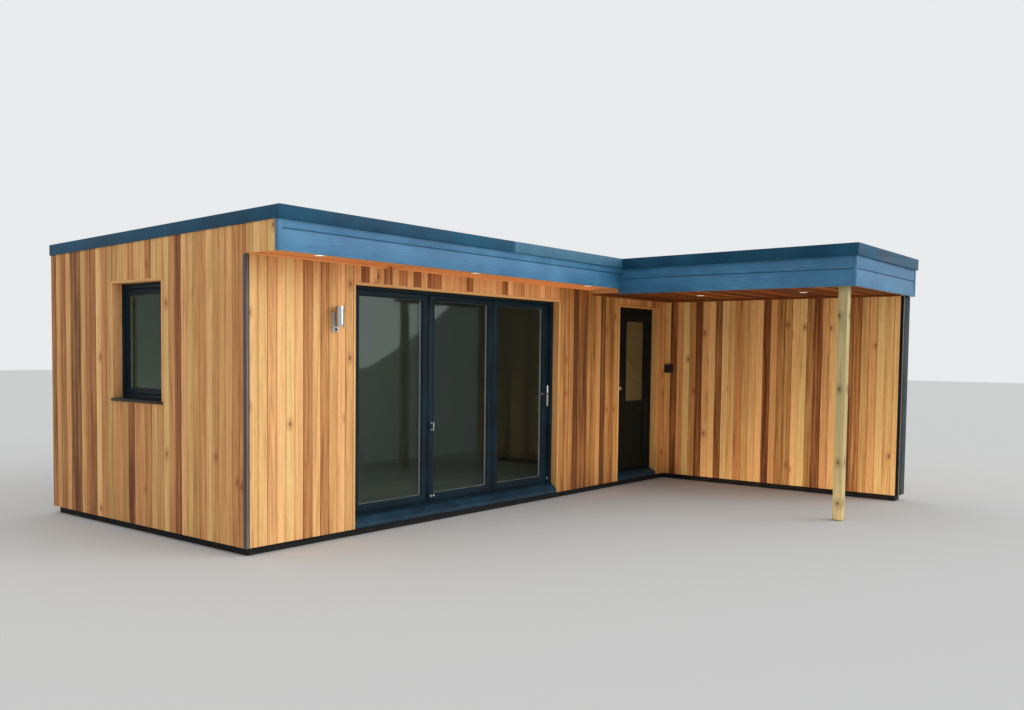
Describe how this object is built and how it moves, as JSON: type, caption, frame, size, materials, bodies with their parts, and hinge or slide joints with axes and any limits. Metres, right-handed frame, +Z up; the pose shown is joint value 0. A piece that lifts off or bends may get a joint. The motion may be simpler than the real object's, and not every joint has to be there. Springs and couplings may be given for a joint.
{
  "type": "garden office",
  "caption": "Flat-roofed timber-clad garden office with a folding glass door, a side window, a store with a hinged door, and an open canopy on a post and a screen wall.",
  "frame": {"origin": "middle of the roof edge's rectangle in plan, on the ground", "axes": "+X along the front wall from the window's end to the canopy's end, +Y from the front into the building, +Z up"},
  "size_m": [6.298, 5.738, 2.518],
  "materials": {
    "plinth": "matt black edge of the base",
    "floor": "grey laminate",
    "wall_lining": "timber frame with a painted lining",
    "frame_timber": "sawn structural timber",
    "cedar": "oiled cedar boards",
    "soffit_cedar": "oiled cedar boards",
    "membrane": "matt black sheet",
    "dark_metal": "satin anthracite",
    "fascia_paint": "satin slate blue paint",
    "frame_paint": "satin anthracite",
    "store_paint": "satin black",
    "post_timber": "treated softwood",
    "clear_glass": "clear double glazing",
    "obscure_glass": "obscured double glazing",
    "steel": "satin stainless steel",
    "hinge_metal": "black",
    "handle_metal": "satin",
    "light_black": "matt black",
    "light_white": "white"
  },
  "bodies": {
    "building": {"plinth": "plinth", "floor": "floor", "end_wall": "wall_lining", "front_wall_left": "wall_lining", "front_wall_head": "wall_lining", "front_wall_right": "wall_lining", "store_wall_left": "wall_lining", "store_wall_head": "wall_lining", "store_wall_stud": "wall_lining", "side_wall": "wall_lining", "screen_wall": "frame_timber", "rear_wall": "wall_lining", "cladding_end": "cedar", "cladding_front": "cedar", "cladding_store": "cedar", "cladding_screen": "cedar", "cladding_side": "cedar", "cladding_rear": "cedar", "roof_main": "frame_timber", "roof_canopy": "frame_timber", "roof_membrane": "membrane", "roof_edge_cap": "dark_metal", "fascia_front": "fascia_paint", "fascia_canopy_side": "fascia_paint", "fascia_canopy_front": "fascia_paint", "fascia_corner_strips": "fascia_paint", "soffit_front": "soffit_cedar", "soffit_canopy": "soffit_cedar", "soffit_bead": "cedar", "canopy_post": "post_timber", "corner_trims": "dark_metal", "opening_linings": "cedar", "door_sills": "frame_paint", "folding_door_frame": "frame_paint", "folding_panel_left": "frame_paint", "folding_panel_middle": "frame_paint", "folding_panel_right": "frame_paint", "folding_door_glass": "clear_glass", "folding_door_hinges": "steel", "folding_door_handles": "steel", "window_frame": "frame_paint", "window_casement": "frame_paint", "window_glass": "clear_glass", "window_sill": "frame_paint", "store_door_frame": "store_paint", "store_door_hinges": "hinge_metal", "wall_light": "steel", "box_light": "light_black", "downlights": "light_white"},
    "store_door": {"store_door_leaf": "store_paint", "store_door_glass": "obscure_glass", "store_door_handle": "handle_metal"}
  },
  "joints": [
    {"name": "store_door_hinge", "type": "hinge", "parent": "building", "child": "store_door", "pos_m": [2.6925, 0.0477, 0.164], "axis": [0, 0, 1], "range_deg": [0, 88]}
  ]
}
